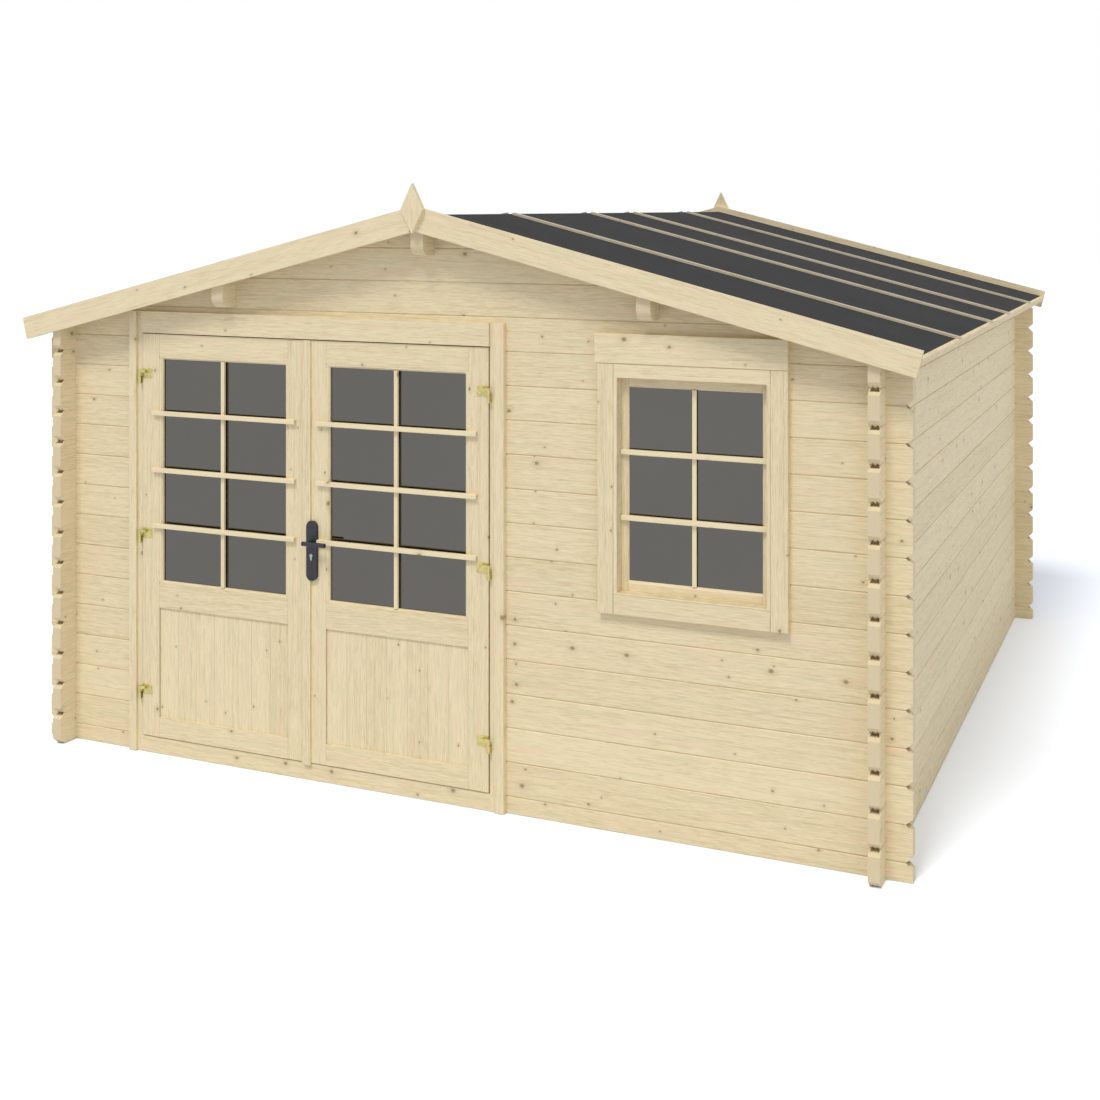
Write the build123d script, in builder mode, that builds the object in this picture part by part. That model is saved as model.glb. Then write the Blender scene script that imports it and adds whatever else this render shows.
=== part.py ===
"""Garden log cabin with interlocking corners, a felted gable roof, a pair of glazed doors and a window.

The door side faces -Y and the ridge runs along Y. The origin is on the ground, under the middle.
"""

import os
from math import ceil, cos, radians, sin, tan

from build123d import *

os.makedirs("parts", exist_ok=True)

# Walls
wall_span = 3800.0  # between the outer faces of two opposite walls
log_thickness = 44.0
log_height = 138.5  # what one log adds to the height of a wall
log_end = 100.0  # how far every log runs past the corner
joint_bevel = 4.0  # depth of the V along each joint between two logs
end_chamfer = 28.0  # how far the bevel at the end of a log runs back
end_chamfer_rise = 24.0
eave_cut = 11.4  # what the roof takes off the top log of a side wall

# Pair of grooves under each log, which shows at the joints of the bevelled ends
grooves_width = 38.0
groove_peaks = 20.0  # between the tips of the two grooves
groove_base = -12.0  # heights over the joint
groove_valley = -3.0
groove_tip = 8.0
groove_length = 50.0

# Roof
roof_pitch = 14.0
roof_board = 18.0
felt_thickness = 4.0
eave_overhang = 126.0  # of the roof boards past the side walls
eave_strip = 20.0
eave_strip_depth = 27.0
batten_width = 34.0
batten_thickness = 10.0
batten_places = [-1126.0, -198.0, 410.0, 1310.0]
batten_ridge_gap = 12.0
purlin_width = 58.0
purlin_place = 990.0  # of each lower purlin, from the ridge
ridge_purlin_depth = 144.0  # below the boards' underside
side_purlin_depth = 136.5
purlin_nose = 46.0  # radius of the rounded lower end
bargeboard_thickness = 22.0
bargeboard_depth = 100.0
bargeboard_rise = 34.0  # how far its top edge stands above the felt
finial_thickness = 20.0
finial_half_width = 51.0
finial_heights = [-54.0, 46.0, 150.0]  # bottom, widest place and tip, over the boards' underside

# Door frame
door_centre = -585.5
door_half_width = 876.5  # of the space between the posts
door_bottom = 71.0
door_top = 1889.5
post_width = 27.0
post_front = 12.0  # how far the posts stand out of the wall
cover_width = 39.5  # of the post's outer part, which lies on the logs
cover_front = 24.0
header_height = 97.0
stop_width = 15.0
stop_depth = 24.0
settling_gap = 25.0  # left over the door and window frames, for the logs to shrink

# Door leaves
leaf_front = 17.0  # how far the leaves' faces stand out of the wall
leaf_gap = 5.0
meeting_gap = 7.0
leaf_thickness = 42.0
meeting_line = -603.5
outer_stile = 92.0
left_meeting_stile = 74.0
right_meeting_stile = 112.0
bottom_rail = 90.0
middle_rail_bottom = 657.0
middle_rail = 105.5
top_rail = 96.5
bead_width = 15.5
bead_drop = 1.5  # from the leaf's face to the beads'
bead_bevel = 7.0
glass_recess = 17.0
glass_thickness = 4.0
panel_recess = 8.0
panel_thickness = 16.0
strip_width = 39.0
strip_thickness = 10.0
strip_gap = 2.0  # round the lock plate
strip_drop = 8.0  # how far the cover strip hangs below the leaf

# Hinges
hinge_heights = [285.0, 989.0, 1708.0]  # of the middle of each flap
pin_offset = 2.0  # from the edge of the door's opening
pin_front = 13.0  # from the face of the leaf
knuckle_radius = 6.5
upper_knuckle = 30.0
lower_knuckle = 30.0
knuckle_gap = 0.4
lug_width = 7.0
flap_width = 52.0
flap_height = 42.0
flap_thickness = 2.5
arm_height = 12.0
arm_length = 24.0  # on the flap
arm_lift = 8.0  # of the arm's middle over the flap's
arm_front = 3.0  # from the pin line to the arm's face

# Lock
plate_centre = -551.5
plate_width = 51.0
plate_bottom = 859.0
plate_top = 1114.0
plate_thickness = 16.0
lever_height = 1024.0
lever_stub = 21.0  # from the neck to the short end
lever_length = 91.0
lever_radius = 9.5
lever_front = 36.0  # from the plate to the middle of the grip
neck_radius = 9.0
spindle_side = 8.0  # the spindle is square
spindle_clearance = 0.3
lever_gap = 0.3

# Window
window_left = 853.0
window_right = 1458.0
window_bottom = 947.0
window_top = 1788.0
lining_thickness = 15.0
lining_show = 7.0  # what shows of the lining over the bottom board
lining_inside = 10.0  # how far the lining stands into the room
casing_thickness = 30.0
casing_width = 68.0
casing_foot = 85.0  # from the window's opening down to the casing's lower edge
casing_head_lift = 57.0  # from the window's opening to the head board
casing_head_height = 116.0
casing_head_front = 4.0  # how far the head board stands out of the others
casing_head_laps = [12.0, 1.0]  # past the left and the right board
casing_gap = 0.5  # between the boards
casing_bevel = 2.0
sash_gap = 0.5
sash_stile = 30.0
sash_rail = 39.5
sash_front = 20.0  # from the wall's outer face in to the sash
sash_bevel = 9.0
pane_recess = 11.0

# Floor
joist_height = 45.0
joist_width = 60.0
joist_count = 7
floor_board = 19.0
floor_gap = 10.0

slope = tan(radians(roof_pitch))
run = cos(radians(roof_pitch))
fall = sin(radians(roof_pitch))

half_span = wall_span / 2
wall_reach = half_span + log_end
inner_half = half_span - log_thickness
log_ends = [-wall_reach, wall_reach]
corner_places = [half_span - log_thickness / 2, log_thickness / 2 - half_span]

frame_top = door_top + post_width
frame_height = door_top + header_height
casing_height = window_top + casing_head_lift + casing_head_height

# The roof clears the door frame's and the window's top outer corner, given from the ridge and the ground
frame_reach = abs(door_centre) + door_half_width + post_width + cover_width
casing_reach = window_right + lining_thickness + casing_width + casing_head_laps[1]
corners = [(frame_reach, frame_height), (casing_reach, casing_height)]
eaves_needed = [height + eave_cut - slope * (half_span - reach) for reach, height in corners]
side_courses = ceil(max(frame_top, *eaves_needed) / log_height)  # logs in a side wall, from the ground
gable_bottom = log_height * (int(frame_top / log_height - 0.5) + 0.5)
ridge_underside = side_courses * log_height - eave_cut + slope * half_span  # of the roof boards
slope_length = (half_span + eave_overhang) / run
ridge_purlin_bottom = ridge_underside - ridge_purlin_depth
side_purlin_bottom = ridge_underside - slope * purlin_place - side_purlin_depth

# The front and back walls start with half a log, so their joints are half a log from the side walls'
side_joints = [log_height * n for n in range(side_courses)]
front_joints = [log_height * (n + 0.5) for n in range(int(ridge_underside / log_height + 0.5))]
side_middles = [log_height * (n + 0.5) for n in range(side_courses)]
front_middles = [log_height * n for n in range(side_courses + 1)]

front = Plane(origin=(0, -half_span, 0), x_dir=(1, 0, 0), z_dir=(0, -1, 0))
back = Plane(origin=(0, half_span, 0), x_dir=(-1, 0, 0), z_dir=(0, 1, 0))
right_side = Plane(origin=(half_span, 0, 0), x_dir=(0, 1, 0), z_dir=(1, 0, 0))
left_side = Plane(origin=(-half_span, 0, 0), x_dir=(0, -1, 0), z_dir=(-1, 0, 0))


def underside(across):
    """Height of the roof boards' underside, this far across from the ridge."""
    return ridge_underside - slope * abs(across)


def roof_point(along, above):
    """Point of the right slope, this far down it from the ridge and this far above the underside."""
    return (along * run + above * fall, ridge_underside - along * fall + above * run)


def ridge_point(above):
    """The point over the ridge where a layer this far above the underside meets its twin."""
    return (0, ridge_underside + above / run)


def slope_layer(out, start, end, low, high):
    """Outline of a layer on one slope, between two heights above the underside; out is -1 on the left."""
    upper = [roof_point(start, low), roof_point(start, high)]
    if start == 0:
        upper = [ridge_point(low), ridge_point(high)]
    outline = [upper[0], roof_point(end, low), roof_point(end, high), upper[1]]
    return [(out * x, z) for x, z in outline]


def block(left, bottom, right, top, mode=Mode.ADD):
    """Rectangle between two opposite corners, given in any order."""
    with Locations(((left + right) / 2, (bottom + top) / 2)):
        Rectangle(abs(right - left), abs(top - bottom), mode=mode)


def notch_log_ends(ends, joints):
    """Bevels the ends of the logs, above and below each joint, in a wall's outline."""
    for end in ends:
        back_to = end - end_chamfer if end > 0 else end + end_chamfer
        for joint in joints:
            tips = [(end, joint - end_chamfer_rise), (end, joint + end_chamfer_rise), (back_to, joint)]
            Polygon(*tips, align=None, mode=Mode.SUBTRACT)


def notch_corners(middles):
    """Halves the logs where they cross the other wall: the other wall's logs fill these gaps."""
    with Locations(*[(place, middle) for place in corner_places for middle in middles]):
        Rectangle(log_thickness, log_height / 2, mode=Mode.SUBTRACT)


def bevel_joints(wall_plane, first, last, joints):
    """Cuts the V along each joint between two logs, in the outer face."""
    side = joint_bevel * 2**0.5
    places = [((first + last) / 2, joint, 0) for joint in joints]
    with Locations(wall_plane):
        with Locations(*places):
            Box(last - first, side, side, rotation=(45, 0, 0), mode=Mode.SUBTRACT)


# The pair of grooves as a bar, which the ends of the logs are cut with
with BuildPart() as groove_pair:
    with BuildSketch(Plane(origin=(0, 0, 0), x_dir=(0, 0, -1), z_dir=(1, 0, 0))):
        with BuildLine():
            half_peaks, half_grooves = groove_peaks / 2, grooves_width / 2
            tips = [(-half_peaks, groove_tip), (0, groove_valley), (half_peaks, groove_tip)]
            Polyline((-half_grooves, groove_base), *tips, (half_grooves, groove_base), close=True)
        make_face()
    extrude(amount=groove_length, both=True)


def groove_log_ends(wall_plane, ends, joints):
    """Cuts the pair of grooves at each joint into the ends of the logs."""
    places = [(end, joint, -log_thickness / 2) for end in ends for joint in joints]
    with Locations(wall_plane):
        with Locations(*places):
            add(groove_pair.part, mode=Mode.SUBTRACT)


def bevel_opening(west, bottom, east, top, depth, bevel):
    """Bevels the edges of an opening between these sides, in a face at this depth."""
    reach = 0.1

    def round_opening(edge):
        place = edge.center()
        inside = west - reach < place.X < east + reach and bottom - reach < place.Z < top + reach
        return inside and abs(place.Y - depth) < reach

    chamfer(edges().filter_by(round_opening), bevel)


def finish_part(name, part):
    """Labels a piece and writes it."""
    part.label = name
    export_step(part, f"parts/{name}.step")


# Front wall
door_left = door_centre - door_half_width
door_right = door_centre + door_half_width
logs_left = door_left - post_width
logs_right = door_right + post_width
window_logs = [window_left - lining_thickness, window_right + lining_thickness]
window_log_bottom = window_bottom - lining_thickness
lining_top = max(gable_bottom - settling_gap, window_top + lining_thickness)
front_pieces = {
    "front_wall_left": (-wall_reach, logs_left, gable_bottom),
    "front_wall_middle": (logs_right, window_logs[0], gable_bottom),
    "front_wall_under_window": (window_logs[0], window_logs[1], window_log_bottom),
    "front_wall_right": (window_logs[1], wall_reach, gable_bottom),
}

for name, (first, last, top) in front_pieces.items():
    joints = [joint for joint in front_joints if joint <= top]
    ends = [end for end in log_ends if end in (first, last)]
    with BuildPart() as wall:
        with BuildSketch(front):
            block(first, 0, last, top)
            notch_log_ends(ends, joints)
            notch_corners(side_middles)
        extrude(amount=-log_thickness)
        bevel_joints(front, first, last, joints)
        if ends:
            groove_log_ends(front, ends, joints)
    finish_part(name, wall.part)

# Gables, which the three purlins lie in
eave_height = underside(wall_reach)
gable_top = [(wall_reach, eave_height), (0, ridge_underside), (-wall_reach, eave_height)]
gable_joints = [joint for joint in front_joints if joint >= gable_bottom]


def cut_purlin_slots():
    """Cuts the slots in a gable's outline that the three purlins lie in."""
    side_slots = [(out * purlin_place, side_purlin_bottom) for out in (-1, 1)]
    with Locations((0, ridge_purlin_bottom), *side_slots):
        Rectangle(purlin_width, ridge_underside, align=(Align.CENTER, Align.MIN), mode=Mode.SUBTRACT)


with BuildPart() as front_gable:
    with BuildSketch(front):
        with BuildLine():
            Polyline((wall_reach, gable_bottom), *gable_top, (-wall_reach, gable_bottom), close=True)
        make_face()
        notch_log_ends(log_ends, gable_joints)
        notch_corners([middle for middle in side_middles if middle > gable_bottom - log_height / 2])
        cut_purlin_slots()
        block(logs_left, 0, logs_right, frame_top + settling_gap, Mode.SUBTRACT)
        block(window_logs[0], 0, window_logs[1], lining_top + settling_gap, Mode.SUBTRACT)
    extrude(amount=-log_thickness)
    bevel_joints(front, -wall_reach, wall_reach, gable_joints)
    groove_log_ends(front, log_ends, gable_joints[:1])
finish_part("front_gable", front_gable.part)

with BuildPart() as back_wall:
    with BuildSketch(back):
        with BuildLine():
            Polyline((wall_reach, 0), *gable_top, (-wall_reach, 0), close=True)
        make_face()
        notch_log_ends(log_ends, front_joints)
        notch_corners(side_middles)
        cut_purlin_slots()
    extrude(amount=-log_thickness)
    bevel_joints(back, -wall_reach, wall_reach, front_joints)
    groove_log_ends(back, log_ends, [joint for joint in front_joints if joint <= gable_bottom])
finish_part("back_wall", back_wall.part)

# Side walls
for name, plane, out in (("left_wall", left_side, -1), ("right_wall", right_side, 1)):
    with BuildPart() as side_wall:
        with BuildSketch(plane):
            block(-wall_reach, 0, wall_reach, underside(inner_half))
            notch_log_ends(log_ends, side_joints)
            notch_corners(front_middles)
        extrude(amount=-log_thickness)
        bevel_joints(plane, -wall_reach, wall_reach, side_joints[1:])
        groove_log_ends(plane, log_ends, side_joints)
        with BuildSketch(Plane.XZ.offset(-wall_reach)):
            with BuildLine():
                slant = [(out * inner_half, underside(inner_half)), (out * half_span, underside(half_span))]
                Polyline(*slant, (out * half_span, underside(inner_half)), close=True)
            make_face()
        extrude(amount=2 * wall_reach, mode=Mode.SUBTRACT)
    finish_part(name, side_wall.part)

# Purlins
half_purlin = purlin_width / 2
purlins = {
    "ridge_purlin": (-half_purlin, half_purlin, ridge_purlin_bottom),
    "left_purlin": (-purlin_place - half_purlin, -purlin_place + half_purlin, side_purlin_bottom),
    "right_purlin": (purlin_place - half_purlin, purlin_place + half_purlin, side_purlin_bottom),
}

for name, (left, right, bottom) in purlins.items():
    shoulders = [(right, underside(right)), (left, underside(left))]
    if left < 0 < right:
        shoulders.insert(1, (0, ridge_underside))
    with BuildPart() as purlin:
        with BuildSketch(Plane.XZ.offset(-wall_reach)):
            with BuildLine():
                Polyline((left, bottom), (right, bottom), *shoulders, close=True)
            make_face()
        extrude(amount=2 * wall_reach)
        lower = purlin.edges().filter_by(Axis.X).group_by(Axis.Z)[0]
        fillet(lower, radius=purlin_nose)
    finish_part(name, purlin.part)

# Roof boards, felt, battens and eave strips
felt_top = roof_board + felt_thickness
strip_end = slope_length + eave_strip

for side, out in (("left", -1), ("right", 1)):
    for kind, low, high in (("boards", 0, roof_board), ("felt", roof_board, felt_top)):
        with BuildPart() as layer:
            with BuildSketch(Plane.XZ.offset(-wall_reach)):
                with BuildLine():
                    Polyline(*slope_layer(out, 0, slope_length, low, high), close=True)
                make_face()
            extrude(amount=2 * wall_reach)
        finish_part(f"{side}_roof_{kind}", layer.part)

with BuildPart() as roof_battens:
    for place in batten_places:
        with BuildSketch(Plane.XZ.offset(-place - batten_width / 2)):
            for out in (-1, 1):
                with BuildLine():
                    layer = (batten_ridge_gap, strip_end, felt_top, felt_top + batten_thickness)
                    Polyline(*slope_layer(out, *layer), close=True)
                make_face()
        extrude(amount=batten_width)
finish_part("roof_battens", roof_battens.part)

with BuildPart() as eave_strips:
    with BuildSketch(Plane.XZ.offset(-wall_reach)):
        for out in (-1, 1):
            with BuildLine():
                layer = (slope_length, strip_end, felt_top - eave_strip_depth, felt_top)
                Polyline(*slope_layer(out, *layer), close=True)
            make_face()
    extrude(amount=2 * wall_reach)
finish_part("eave_strips", eave_strips.part)

# Bargeboards and finials, the same at the front and the back
board_top = felt_top + bargeboard_rise
board_bottom = board_top - bargeboard_depth
finial_low, finial_wide, finial_tip = [ridge_underside + height for height in finial_heights]

for end, away in (("front", 1), ("back", -1)):
    for hand, out in (("left", -1), ("right", 1)):
        with BuildPart() as bargeboard:
            with BuildSketch(Plane.XZ.offset(away * wall_reach)):
                with BuildLine():
                    Polyline(*slope_layer(out, 0, strip_end, board_bottom, board_top), close=True)
                make_face()
            extrude(amount=away * bargeboard_thickness)
        finish_part(f"{end}_{hand}_bargeboard", bargeboard.part)
    with BuildPart() as finial:
        with BuildSketch(Plane.XZ.offset(away * (wall_reach + bargeboard_thickness))):
            with BuildLine():
                corners = [(finial_half_width, finial_wide), (0, finial_tip)]
                Polyline((0, finial_low), *corners, (-finial_half_width, finial_wide), close=True)
            make_face()
        extrude(amount=away * finial_thickness)
    finish_part(f"{end}_finial", finial.part)

# Door frame
leaf_face_y = -half_span - leaf_front
leaf_back_y = leaf_face_y + leaf_thickness
post_face = -half_span - post_front
stop_front = leaf_back_y + leaf_gap
stop_back = stop_front + stop_depth
stop_middle = (stop_front + stop_back) / 2

for name, out, edge in (("door_left_post", -1, door_left), ("door_right_post", 1, door_right)):
    back_edge = edge + out * post_width
    cover_edge = back_edge + out * cover_width
    with BuildPart() as post:
        with BuildSketch(Plane.XY):
            with BuildLine():
                outline = [(edge, post_face), (edge, stop_front), (edge - out * stop_width, stop_front)]
                outline += [(edge - out * stop_width, stop_back), (back_edge, stop_back)]
                outline += [(back_edge, -half_span), (cover_edge, -half_span)]
                outline += [(cover_edge, -half_span - cover_front), (back_edge, -half_span - cover_front)]
                Polyline(*outline, (back_edge, post_face), close=True)
            make_face()
        extrude(amount=frame_height)
        with BuildSketch(Plane.XY.offset(frame_top)):
            block(edge - 2 * post_width, -half_span, edge + 2 * post_width, stop_back)
        extrude(amount=frame_height - frame_top, mode=Mode.SUBTRACT)
    finish_part(name, post.part)


def cut_for_stops(bottom, height):
    """Cuts both ends of a level frame piece round the posts' stops."""
    with Locations(*[(edge, stop_middle, bottom + height / 2) for edge in (door_left, door_right)]):
        Box(2 * stop_width, stop_depth, height, mode=Mode.SUBTRACT)


with BuildPart() as door_header:
    with BuildSketch(Plane.YZ.offset(door_left)):
        with BuildLine():
            outline = [(-half_span - cover_front, door_top), (stop_front, door_top)]
            outline += [(stop_front, door_top - stop_width), (stop_back, door_top - stop_width)]
            outline += [(stop_back, frame_top), (-half_span, frame_top), (-half_span, frame_height)]
            Polyline(*outline, (-half_span - cover_front, frame_height), close=True)
        make_face()
    extrude(amount=2 * door_half_width)
    cut_for_stops(door_top - stop_width, stop_width + post_width)
finish_part("door_header", door_header.part)

with BuildPart() as door_sill:
    with BuildSketch(Plane.XY):
        block(door_left, post_face, door_right, stop_back)
    extrude(amount=door_bottom)
    cut_for_stops(0, door_bottom)
finish_part("door_sill", door_sill.part)

# Floor, between the sill and the other three walls
joists_length = inner_half - stop_back
joists_middle = (inner_half + stop_back) / 2
joist_spacing = (2 * inner_half - joist_width) / (joist_count - 1)

with BuildPart() as floor_joists:
    with BuildSketch(Plane.XY):
        with Locations((0, joists_middle)):
            with GridLocations(joist_spacing, 0, joist_count, 1):
                Rectangle(joist_width, joists_length)
    extrude(amount=joist_height)
finish_part("floor_joists", floor_joists.part)

with BuildPart() as floor_boards:
    with BuildSketch(Plane.XY.offset(joist_height)):
        with Locations((0, joists_middle)):
            Rectangle(2 * (inner_half - floor_gap), joists_length - 2 * floor_gap)
    extrude(amount=floor_board)
finish_part("floor_boards", floor_boards.part)

# Door leaves: each has a panel below its middle rail and a pane between beads above it
leaf_bottom = door_bottom + leaf_gap
leaf_top = door_top - leaf_gap
panel_bottom = leaf_bottom + bottom_rail
light_bottom = middle_rail_bottom + middle_rail
light_top = leaf_top - top_rail
leaf_face = Plane(origin=(0, leaf_face_y, 0), x_dir=(1, 0, 0), z_dir=(0, -1, 0))
leaf_back = leaf_face.offset(-leaf_thickness)
left_leaf_edges = (door_left + leaf_gap, meeting_line - meeting_gap / 2)
right_leaf_edges = (meeting_line + meeting_gap / 2, door_right - leaf_gap)
leaves = [
    ("left_door", left_leaf_edges, outer_stile, left_meeting_stile),
    ("right_door", right_leaf_edges, right_meeting_stile, outer_stile),
]


def drill_spindle_hole(length):
    """Drills the hole that the lever's spindle turns in, through this length about the leaf's middle."""
    with Locations(leaf_face.offset(-leaf_thickness / 2)):
        with Locations((plate_centre, lever_height, 0)):
            Cylinder(spindle_side / 2**0.5 + spindle_clearance, length, mode=Mode.SUBTRACT)


for name, (west, east), west_stile, east_stile in leaves:
    hole_west, hole_east = west + west_stile, east - east_stile
    pane_west, pane_east = hole_west + bead_width, hole_east - bead_width
    pane = (pane_west, light_bottom + bead_width, pane_east, light_top - bead_width)
    with BuildPart() as leaf:
        with BuildSketch(leaf_face):
            block(west, leaf_bottom, east, leaf_top)
            block(hole_west, panel_bottom, hole_east, middle_rail_bottom, Mode.SUBTRACT)
            block(hole_west, light_bottom, hole_east, light_top, Mode.SUBTRACT)
        extrude(amount=-leaf_thickness)
        with BuildSketch(leaf_face.offset(-bead_drop)):
            block(hole_west, light_bottom, hole_east, light_top)
            block(*pane, Mode.SUBTRACT)
        extrude(amount=2 * bead_drop - leaf_thickness)
        bevel_opening(*pane, leaf_face_y + bead_drop, bead_bevel)
        if name == "right_door":
            drill_spindle_hole(leaf_thickness)
    finish_part(f"{name}_leaf", leaf.part)

    with BuildPart() as panel:
        with BuildSketch(leaf_face.offset(-panel_recess)):
            block(hole_west, panel_bottom, hole_east, middle_rail_bottom)
        extrude(amount=-panel_thickness)
    finish_part(f"{name}_panel", panel.part)

    with BuildPart() as glass:
        with BuildSketch(leaf_face.offset(-glass_recess)):
            block(*pane)
        extrude(amount=-glass_thickness)
    finish_part(f"{name}_glass", glass.part)

plate_height = plate_top - plate_bottom
plate_middle = (plate_top + plate_bottom) / 2
strip_left = right_leaf_edges[0]

with BuildPart() as cover_strip:
    with BuildSketch(leaf_face):
        block(strip_left, leaf_bottom - strip_drop, strip_left + strip_width, leaf_top)
        with Locations((plate_centre, plate_middle)):
            notch = (plate_height + 2 * strip_gap, plate_width + 2 * strip_gap)
            SlotOverall(*notch, rotation=90, mode=Mode.SUBTRACT)
    extrude(amount=strip_thickness)
finish_part("door_cover_strip", cover_strip.part)

# Hinges that lift off: the leaf's half has the flap and the upper knuckle, which turns on the post's
pin_line = leaf_face_y - pin_front
arm_top = arm_lift + arm_height / 2  # over the middle of the flap
upper_foot = arm_top - upper_knuckle
lower_foot = upper_foot - knuckle_gap - lower_knuckle

for name, out, edge in (("left_door_hinges", 1, door_left), ("right_door_hinges", -1, door_right)):
    pin = edge - out * pin_offset
    leaf_edge = edge + out * leaf_gap
    with BuildPart() as hinge_leaves:
        for height in hinge_heights:
            with BuildSketch(leaf_face):
                with Locations((leaf_edge + out * flap_width / 2, height)):
                    Rectangle(flap_width, flap_height)
            extrude(amount=flap_thickness)
            with BuildSketch(Plane.XY.offset(height + arm_top - arm_height)):
                block(pin, pin_line - arm_front, leaf_edge, pin_line + knuckle_radius)
                block(leaf_edge, pin_line - arm_front, leaf_edge + out * arm_length, leaf_face_y)
            extrude(amount=arm_height)
            with BuildSketch(Plane.XY.offset(height + upper_foot)):
                with Locations((pin, pin_line)):
                    Circle(knuckle_radius)
            extrude(amount=upper_knuckle)
    finish_part(name, hinge_leaves.part)

with BuildPart() as frame_hinges:
    for out, edge in ((1, door_left), (-1, door_right)):
        pin = edge - out * pin_offset
        for height in hinge_heights:
            with BuildSketch(Plane.XY.offset(height + lower_foot)):
                with Locations((pin, pin_line)):
                    Circle(knuckle_radius)
                near = pin - out * knuckle_radius
                block(near, pin_line, near + out * lug_width, post_face)
            extrude(amount=lower_knuckle)
finish_part("frame_hinges", frame_hinges.part)

# Lock plates, and the two levers on their spindle
with BuildPart() as lock_plates:
    for face, grow in ((leaf_face, plate_thickness), (leaf_back, -plate_thickness)):
        with BuildSketch(face):
            with Locations((plate_centre, plate_middle)):
                SlotOverall(plate_height, plate_width, rotation=90)
        extrude(amount=grow)
    drill_spindle_hole(leaf_thickness + 2 * plate_thickness)
finish_part("lock_plates", lock_plates.part)

neck_front = leaf_face.offset(plate_thickness + lever_gap)
neck_back = leaf_back.offset(-plate_thickness - lever_gap)

with BuildPart() as door_lever:
    with BuildSketch(neck_front):
        with Locations((plate_centre, lever_height)):
            Rectangle(spindle_side, spindle_side)
    extrude(amount=-leaf_thickness - 2 * (plate_thickness + lever_gap))
    for face, grow in ((neck_front, lever_front), (neck_back, -lever_front)):
        with BuildSketch(face):
            with Locations((plate_centre, lever_height)):
                Circle(neck_radius)
        extrude(amount=grow)
        with BuildSketch(Plane.YZ.offset(plate_centre - lever_stub)):
            with Locations((face.origin.Y - grow, lever_height)):
                Circle(lever_radius)
        extrude(amount=lever_stub + lever_length)
finish_part("door_lever", door_lever.part)

# Window: a lining through the wall, and boards round it on the logs
casing_left, casing_right = window_logs[0] - casing_width, window_logs[1] + casing_width
casing_bottom = window_bottom - casing_foot
head_bottom = window_top + casing_head_lift
foot_top = window_bottom - lining_show
side_boards = [(casing_left, window_logs[0] - casing_gap), (window_logs[1] + casing_gap, casing_right)]


def bevel_fronts(depth):
    """Bevels every edge in the front of the boards at this depth."""
    chamfer(edges().filter_by(lambda edge: abs(edge.center().Y - depth) < 0.1), casing_bevel)


with BuildPart() as window_frame:
    with BuildSketch(front):
        block(window_logs[0], window_log_bottom, window_logs[1], lining_top)
        block(window_left, window_bottom, window_right, window_top, Mode.SUBTRACT)
    extrude(amount=-log_thickness - lining_inside)
    with BuildSketch(front):
        block(window_logs[0], foot_top, window_logs[1], window_top)
        block(window_left, window_bottom, window_right, window_top, Mode.SUBTRACT)
        block(window_logs[0], window_top, window_logs[1], head_bottom - casing_gap)
        block(window_logs[0], casing_bottom, window_logs[1], foot_top - casing_gap)
        for left, right in side_boards:
            block(left, casing_bottom, right, head_bottom - casing_gap)
    extrude(amount=casing_thickness)
    bevel_fronts(-half_span - casing_thickness)
    with BuildSketch(front):
        left_lap, right_lap = casing_head_laps
        head_left, head_right = casing_left - left_lap, casing_right + right_lap
        block(head_left, head_bottom, head_right, casing_height)
    extrude(amount=casing_thickness + casing_head_front)
    bevel_fronts(-half_span - casing_thickness - casing_head_front)
finish_part("window_frame", window_frame.part)

sash_face = front.offset(-sash_front)
sash = (window_left + sash_gap, window_bottom + sash_gap, window_right - sash_gap, window_top - sash_gap)
pane = (sash[0] + sash_stile, sash[1] + sash_rail, sash[2] - sash_stile, sash[3] - sash_rail)

with BuildPart() as window_sash:
    with BuildSketch(sash_face):
        block(*sash)
        block(*pane, Mode.SUBTRACT)
    extrude(amount=sash_front - log_thickness - lining_inside)
    bevel_opening(*pane, sash_front - half_span, sash_bevel)
finish_part("window_sash", window_sash.part)

with BuildPart() as window_glass:
    with BuildSketch(sash_face.offset(-pane_recess)):
        block(*pane)
    extrude(amount=-glass_thickness)
finish_part("window_glass", window_glass.part)
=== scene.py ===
"""Finishes, glazing bars, boards, screws and studio for the garden log cabin.

Run as a script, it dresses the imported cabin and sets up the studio.
"""

import math

import bmesh
import bpy
import numpy as np
from bpy.props import FloatProperty, FloatVectorProperty, PointerProperty
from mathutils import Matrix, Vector


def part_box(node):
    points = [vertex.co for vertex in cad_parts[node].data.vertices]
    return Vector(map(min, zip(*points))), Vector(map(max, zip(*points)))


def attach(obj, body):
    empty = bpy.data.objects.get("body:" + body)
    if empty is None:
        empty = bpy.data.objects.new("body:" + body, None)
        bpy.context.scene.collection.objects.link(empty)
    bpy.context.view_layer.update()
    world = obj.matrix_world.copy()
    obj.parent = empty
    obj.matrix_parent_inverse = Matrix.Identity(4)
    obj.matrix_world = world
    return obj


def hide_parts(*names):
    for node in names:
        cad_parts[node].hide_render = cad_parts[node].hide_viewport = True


bl_info = {
    "name": "Garden log cabin",
    "version": (1, 0, 0),
    "blender": (4, 5, 0),
    "location": "3D View > Sidebar > Log cabin",
    "description": "Dresses a garden log cabin in spruce, felt, glass and metal, with its bars and boards",
    "category": "Object",
}

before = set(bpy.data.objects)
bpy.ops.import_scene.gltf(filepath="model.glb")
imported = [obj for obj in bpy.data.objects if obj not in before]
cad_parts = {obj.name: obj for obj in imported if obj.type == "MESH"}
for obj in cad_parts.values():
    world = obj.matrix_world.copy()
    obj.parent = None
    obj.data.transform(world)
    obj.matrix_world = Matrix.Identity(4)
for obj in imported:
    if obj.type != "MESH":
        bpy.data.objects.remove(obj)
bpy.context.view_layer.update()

MM = 0.001

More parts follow.
